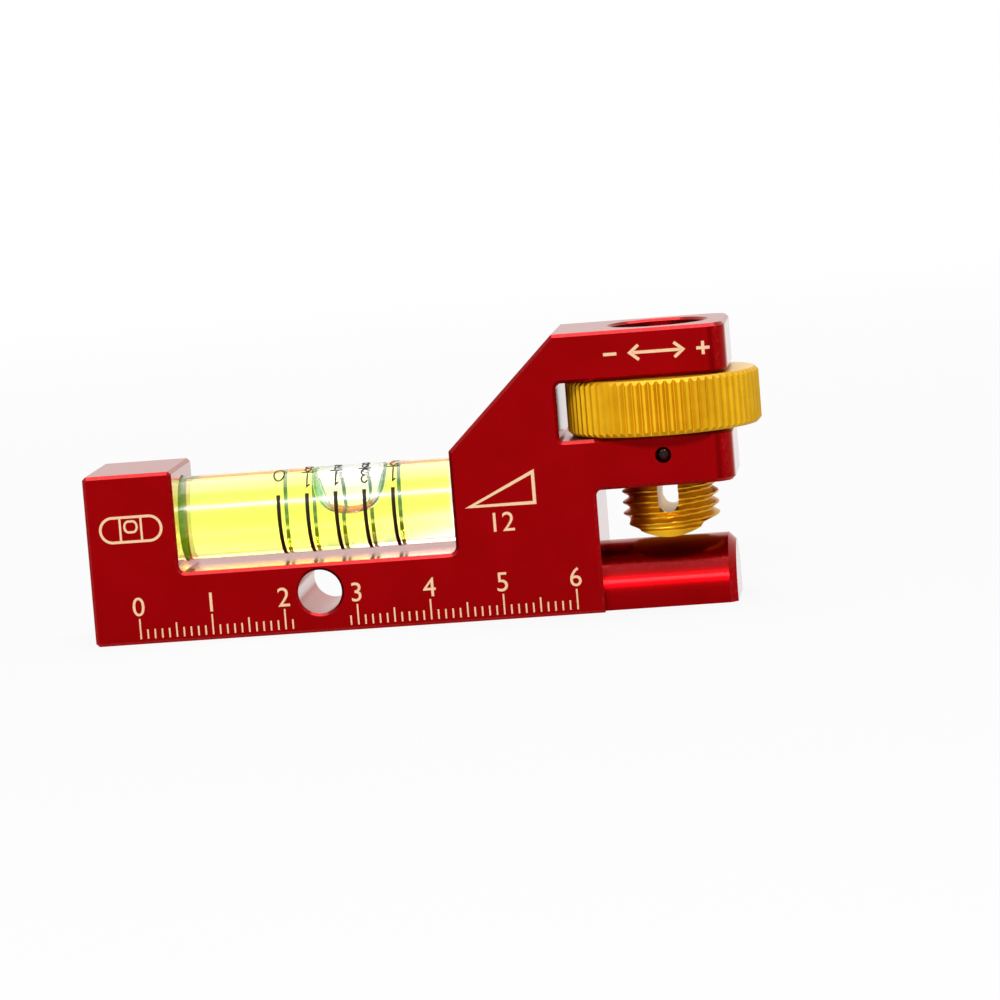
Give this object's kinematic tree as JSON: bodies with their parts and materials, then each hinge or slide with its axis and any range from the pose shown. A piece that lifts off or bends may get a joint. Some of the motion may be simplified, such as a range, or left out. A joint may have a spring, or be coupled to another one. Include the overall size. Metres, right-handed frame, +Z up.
{
  "type": "slope level",
  "caption": "Pocket slope level: a stepped aluminium body with a graduated vial in a window, and a pipe clamp whose screw is driven by a knurled thumbwheel.",
  "frame": {"origin": "middle of the box that holds the level, at the height of the base", "axes": "+X along the level towards the clamp, +Y from the front face to the back, +Z up"},
  "size_m": [0.0926, 0.0264, 0.0382],
  "materials": {
    "red_anodised": "bright red anodised, fine satin",
    "gold_anodised": "gold anodised, satin",
    "black_steel": "black oxide",
    "clear_acrylic": "clear, polished",
    "dark_plug": "dark plug, gloss",
    "level_liquid": "clear fluorescent yellow-green liquid",
    "air": "clear air bubble",
    "black_ink": "printed black",
    "adhesive": "cured adhesive, dark",
    "etched_mark": "laser-etched, pale, matt"
  },
  "bodies": {
    "level": {"body": "red_anodised", "guide_pin": "black_steel", "vial_tube": "clear_acrylic", "vial_plug": "dark_plug", "vial_fluid": "level_liquid", "scale_ring_0": "black_ink", "scale_ring_1": "black_ink", "scale_ring_2": "black_ink", "scale_ring_3": "black_ink", "scale_ring_4": "black_ink", "vial_bond_left": "adhesive", "vial_bond_right": "adhesive"},
    "wheel": {"thumbwheel": "gold_anodised"},
    "screw": {"clamp_screw": "gold_anodised"},
    "bubble": {"vial_bubble": "air"}
  },
  "joints": [
    {"name": "wheel_turn", "type": "hinge", "parent": "level", "child": "wheel", "pos_m": [0.0331, 0, 0.0275], "axis": [0, 0, 1], "range_deg": [-1656.5, 648.5]},
    {"name": "screw_travel", "type": "slide", "parent": "level", "child": "screw", "axis": [0, 0, 1], "range_m": [-0.0027, 0.0069]},
    {"name": "bubble_travel", "type": "slide", "parent": "level", "child": "bubble", "axis": [1, 0, 0], "range_m": [-0.017, 0.008], "deforming": ["vial_fluid"]}
  ],
  "couplings": [
    {"joint": "wheel_turn", "follows": "screw_travel", "rad_per_m": -4188.8}
  ]
}
